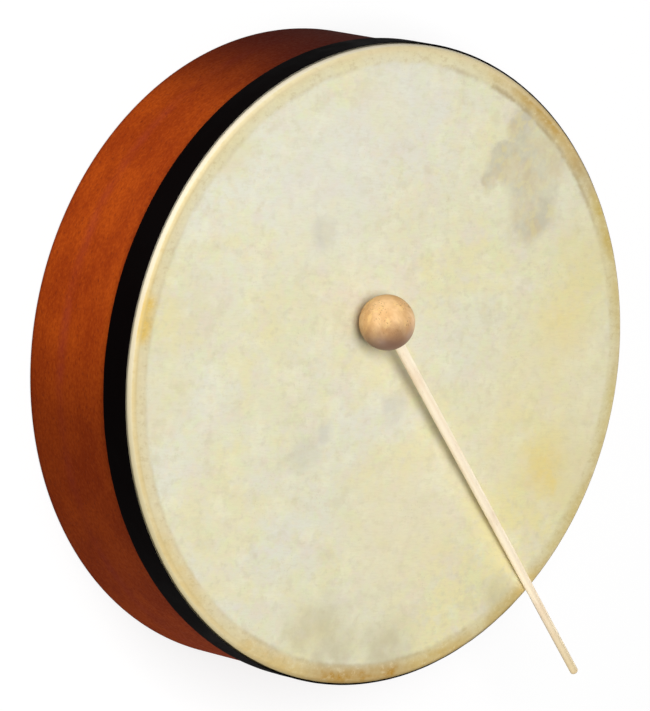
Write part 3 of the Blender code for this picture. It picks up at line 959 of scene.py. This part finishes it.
def carve(piece, *cutters, operation="DIFFERENCE"):
    """Cut a piece with other objects, or keep what it shares with them, and remove the cutters."""
    for cutter in cutters:
        cut = piece.modifiers.new("cut", "BOOLEAN")
        cut.solver = "EXACT"
        cut.operation = operation
        cut.object = cutter
    settle(piece)
    for cutter in cutters:
        bpy.data.objects.remove(cutter)


def block(name, low, high, rounding=0.0, slices=0):
    """A box between two corners with rounded edges, cut across into slices along X."""
    low, high = Vector(low), Vector(high)
    place = Matrix.Translation((low + high) / 2) @ Matrix.Diagonal((*(high - low), 1))
    work = bmesh.new()
    bmesh.ops.create_cube(work, size=1, matrix=place)
    if rounding:
        bmesh.ops.bevel(
            work, geom=work.edges[:], offset=rounding, segments=5, profile=0.5, affect="EDGES"
        )
    for i in range(1, slices):
        across = (low.x + (high.x - low.x) * i / slices, 0, 0)
        everything = work.verts[:] + work.edges[:] + work.faces[:]
        bmesh.ops.bisect_plane(work, geom=everything, plane_co=across, plane_no=(1, 0, 0))
    return as_object(name, work)


def grained(piece, along, offset=0.0):
    """Write the grain attribute: metres along the named axis, then along the other two."""
    order = {"X": (0, 1, 2), "Y": (1, 0, 2), "Z": (2, 0, 1)}[along]
    mesh = piece.data
    left_over = mesh.attributes.get("grain")
    if left_over:
        mesh.attributes.remove(left_over)
    layer = mesh.attributes.new("grain", "FLOAT_VECTOR", "CORNER")
    for loop in mesh.loops:
        point = mesh.vertices[loop.vertex_index].co
        layer.data[loop.index].vector = [point[axis] + offset for axis in order]


BAR_LOW, BAR_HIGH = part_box("crossbar_x")
BAR_MIDDLE_Z = (BAR_LOW.z + BAR_HIGH.z) / 2
SCREW_LOW, SCREW_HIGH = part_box(SCREWS[0])
SCREW_AT = (SCREW_LOW.x + SCREW_HIGH.x) / 2
SCREW_LENGTH = SCREW_HIGH.z - SCREW_LOW.z
PLANING = 0.00006
FAR = 0.3


def countersink(name, turn):
    """A clearance hole with a cone for the screw's head, in a bar's end at that turn."""
    start, end = BAR_LOW.z - 0.001, BAR_LOW.z + SCREW_LENGTH
    wide, narrow = SCREW_HEAD_RADIUS + GAP, SCREW_SHANK_RADIUS + GAP
    cone = BAR_LOW.z + GAP + 2 * SCREW_HEAD_LAND
    profile = [(0.0, start), (wide, start), (wide, cone), (narrow, BAR_LOW.z + 0.0030)]
    profile += [(narrow, end), (0.0, end + 0.001)]
    place = Matrix.Rotation(turn, 4, "Z") @ Matrix.Translation((SCREW_AT, 0, 0))
    return lathe(name, profile, 32, place=place)


def plane_by_hand(bar, offset):
    """Leave a bar's faces slightly uneven, away from its ends."""
    for v in bar.data.vertices:
        if abs(v.co.x) < BAR_HIGH.x - 0.004:
            planed = PLANING * (noise.noise(v.co * 22 + Vector((offset, 0, 0))) - 1)
            v.co.y -= math.copysign(planed, v.co.y)
            v.co.z -= math.copysign(planed, v.co.z - BAR_MIDDLE_Z)


def make_bar(name, node, turn, lap_side, material, offset):
    """A planed bar with eased edges, a half-lap in its middle and a hole near each end."""
    bar = block(name, BAR_LOW, BAR_HIGH, rounding=BAR_ROUNDING, slices=36)
    plane_by_hand(bar, offset)
    face = BAR_MIDDLE_Z - lap_side * GAP / 2
    far = BAR_MIDDLE_Z + lap_side * 0.02
    reach = BAR_HIGH.y + GAP
    lap = block(f"{name}_lap", (-reach, -0.03, min(face, far)), (reach, 0.03, max(face, far)))
    holes = [countersink(f"{name}_hole", end) for end in (0.0, math.pi)]
    carve(bar, lap, *holes)
    grained(bar, "X", offset)
    bar.data.transform(Matrix.Rotation(turn, 4, "Z"))
    crisp(bar, 28)
    stand_in(bar, material, "drum", "bar_wood", node)


def make_cleat(number, node, material):
    """A glued block whose back follows the rim's wall, notched for the bar's end."""
    low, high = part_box(CLEATS[0])
    wall_x = RIM_INNER - GAP
    beyond = (wall_x + CLEAT_DEPTH, high.y, high.z)
    cleat = block(f"cleat_{number}", low, beyond, rounding=CLEAT_ROUNDING)
    wall = lathe("wall", [(0.0, -FAR), (wall_x, -FAR), (wall_x, FAR), (0.0, FAR)], RIM_SEGMENTS)
    carve(cleat, wall, operation="INTERSECT")
    notch_half = BAR_HIGH.y + GAP
    notch = block("notch", (0, -notch_half, -0.02), (FAR, notch_half, BAR_HIGH.z + GAP))
    carve(cleat, notch, countersink("cleat_hole", 0.0))
    grained(cleat, "Y", 0.31 * number)
    cleat.data.transform(Matrix.Rotation(math.tau * (number - 1) / 4, 4, "Z"))
    crisp(cleat, 28)
    stand_in(cleat, material, "drum", "bar_wood", node)


THREAD_START, THREAD_END = 0.0065, SCREW_LENGTH - SCREW_POINT
THREAD_ROOT, THREAD_PITCH, THREAD_ROWS = 0.00135, 0.0017, 78


def thread(angle, r, z):
    """How far the thread stands out at a turn and height, fading at its ends."""
    start, end = THREAD_START + 0.0001, THREAD_END - 0.0001
    if z < start or z > end:
        return 0, 0
    wave = ((z / THREAD_PITCH + angle / math.tau) % 1.0 - 0.5) * 2
    run_in = min(1.0, (z - start) / 0.001, (end - z) / 0.001)
    return (SCREW_SHANK_RADIUS - THREAD_ROOT) * max(0.0, 1 - 2.2 * abs(wave)) * run_in, 0


def make_screw(number, node, material):
    """A slotted countersunk screw with a cut thread, its head facing the drum's open back."""
    head, shank = SCREW_HEAD_RADIUS, SCREW_SHANK_RADIUS
    profile = [(0.0, 0.0), (head / 2, 0.0), (head - 0.00015, 0.0), (head, 0.00012)]
    profile += [(head, SCREW_HEAD_LAND), (shank, SCREW_HEAD_HEIGHT), (shank, THREAD_START)]
    for i in range(1, THREAD_ROWS + 1):
        z = THREAD_START + (THREAD_END - THREAD_START) * i / THREAD_ROWS
        profile.append((THREAD_ROOT, z))
    point = [(THREAD_ROOT * (1 - i / 8), THREAD_END + SCREW_POINT * i / 8) for i in range(1, 8)]
    profile += point + [(0.0, SCREW_LENGTH)]
    piece = lathe(f"screw_{number}", profile, 40, shift=thread, along="axis")
    half = SCREW_SLOT_WIDTH / 2
    slot = block("slot", (-0.01, -half, -0.001), (0.01, half, SCREW_SLOT_DEPTH))
    slot.data.transform(Matrix.Rotation(math.radians(12 + 37 * number), 4, "Z"))
    carve(piece, slot)
    turn = Matrix.Rotation(math.tau * (number - 1) / 4, 4, "Z")
    piece.data.transform(turn @ Matrix.Translation((SCREW_AT, 0, SCREW_LOW.z)))
    crisp(piece, 30)
    stand_in(piece, material, "drum", "steel", node)


# ---------------- stage, lights and camera

# The floor looks near white, and yet throws little light back up at the drum.
FLOOR_SHADE = 0.22
FLOOR_GLOW = 0.82
WORLD_LIGHT = 0.12


def lamp_ray_switch(tree, seen, unseen):
    """A strength that is one number where the camera sees the surface and another as lighting."""
    path = tree.nodes.new("ShaderNodeLightPath")
    mix = tree.nodes.new("ShaderNodeMapRange")
    tree.links.new(path.outputs["Is Camera Ray"], mix.inputs["Value"])
    mix.inputs["To Min"].default_value = unseen
    mix.inputs["To Max"].default_value = seen
    return mix.outputs["Result"]


def make_stage():
    """A wide near-white floor just under the drum, and a white world."""
    bpy.ops.mesh.primitive_plane_add(size=60, location=(0, 0, -GAP))
    floor = bpy.context.object
    floor.name = "floor"
    look = Look("pale_floor")
    material = look.finish(
        Base_Color=(FLOOR_SHADE, FLOOR_SHADE, FLOOR_SHADE, 1),
        Roughness=1.0,
        Specular_IOR_Level=0.0,
        Emission_Color=(1, 1, 1, 1),
        Emission_Strength=lamp_ray_switch(look.tree, FLOOR_GLOW, 0.0),
    )
    floor.data.materials.append(material)
    floor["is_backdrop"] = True
    world = bpy.data.worlds.new("studio")
    bpy.context.scene.world = world
    world.use_nodes = True
    sky = world.node_tree.nodes["Background"]
    sky.inputs["Color"].default_value = (1, 1, 1, 1)
    world.node_tree.links.new(
        lamp_ray_switch(world.node_tree, 1.0, WORLD_LIGHT), sky.inputs["Strength"]
    )
    bpy.context.scene.view_settings.view_transform = "Standard"


def direction(azimuth, elevation):
    """Towards a place seen from the drum: azimuth 0 is on the -Y side and 90 on the +X side."""
    turn, rise = math.radians(azimuth), math.radians(elevation)
    across = math.cos(rise)
    return Vector((math.sin(turn) * across, -math.cos(turn) * across, math.sin(rise)))


def aim_light(name, azimuth, elevation, distance, size, level, height):
    """An area light facing the point at a height on the drum's axis.

    The level is the brightness it gives a white surface that faces it from there.
    """
    towards = direction(azimuth, elevation)
    lamp = bpy.data.lights.new(name, "AREA")
    lamp.shape = "RECTANGLE"
    lamp.size, lamp.size_y = size
    lamp.energy = level * (math.pi * distance) ** 2
    made = bpy.data.objects.new(name, lamp)
    made.location = Vector((0, 0, height)) + towards * distance
    made.rotation_mode = "QUATERNION"
    made.rotation_quaternion = towards.to_track_quat("Z", "Y")
    made.visible_camera = False
    bpy.context.scene.collection.objects.link(made)
    return made


def make_lights():
    """Soft light from above, and low strips for the rim that leave the floor unlit."""
    aim_light("key_light", -22, 63, 2.6, (1.3, 1.3), 0.85, SKIN_TOP)
    aim_light("top_light", 160, 78, 2.2, (1.4, 1.4), 0.14, SKIN_TOP)
    lit = bpy.data.collections.new("lit_by_strips")
    for obj in bpy.context.scene.objects:
        if obj.type == "MESH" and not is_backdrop(obj):
            lit.objects.link(obj)
    strips = [
        aim_light("rim_strip", -30, 0, 0.70, (0.25, 0.09), 0.37, 0.05),
        aim_light("low_strip", 75, 0, 0.90, (0.50, 0.09), 0.40, 0.05),
        aim_light("far_strip", 175, 4, 1.60, (1.20, 0.20), 0.45, 0.05),
    ]
    for strip in strips:
        strip.light_linking.receiver_collection = lit


def make_camera():
    """A long lens, looking down on the skin and rolled so that the drum stands on its edge."""
    back, roll = direction(-7.73, 48.77), math.radians(102.25)
    aim, distance = Vector((-0.0051, -0.0488, 0.1016)), 4.904
    data = bpy.data.cameras.new("camera")
    data.lens = 400
    camera = bpy.data.objects.new("camera", data)
    camera.location = aim + back * distance
    camera.rotation_mode = "QUATERNION"
    level = back.to_track_quat("Z", "Y")
    camera.rotation_quaternion = level @ Matrix.Rotation(roll, 4, "Z").to_quaternion()
    bpy.context.scene.collection.objects.link(camera)
    bpy.context.scene.camera = camera


def main():
    make_camera()
    make_stage()
    stained = rim_look()
    raw = bare_wood_look()
    steel = steel_look()
    make_outer_ply(stained)
    make_inner_ply(raw)
    make_skin(skin_look(), skin_inside_look())
    make_band(band_look())
    make_ball(ball_look())
    make_stick(stick_look())
    make_bar("bar_x", "crossbar_x", 0.0, 1, raw, 0.0)
    make_bar("bar_y", "crossbar_y", math.pi / 2, -1, raw, 0.7)
    for number, (cleat, screw) in enumerate(zip(CLEATS, SCREWS), 1):
        make_cleat(number, cleat, raw)
        make_screw(number, screw, steel)
    for node in TACKS:
        for slot in frame["nodes"][node].material_slots:
            slot.material = steel
    make_lights()


main()
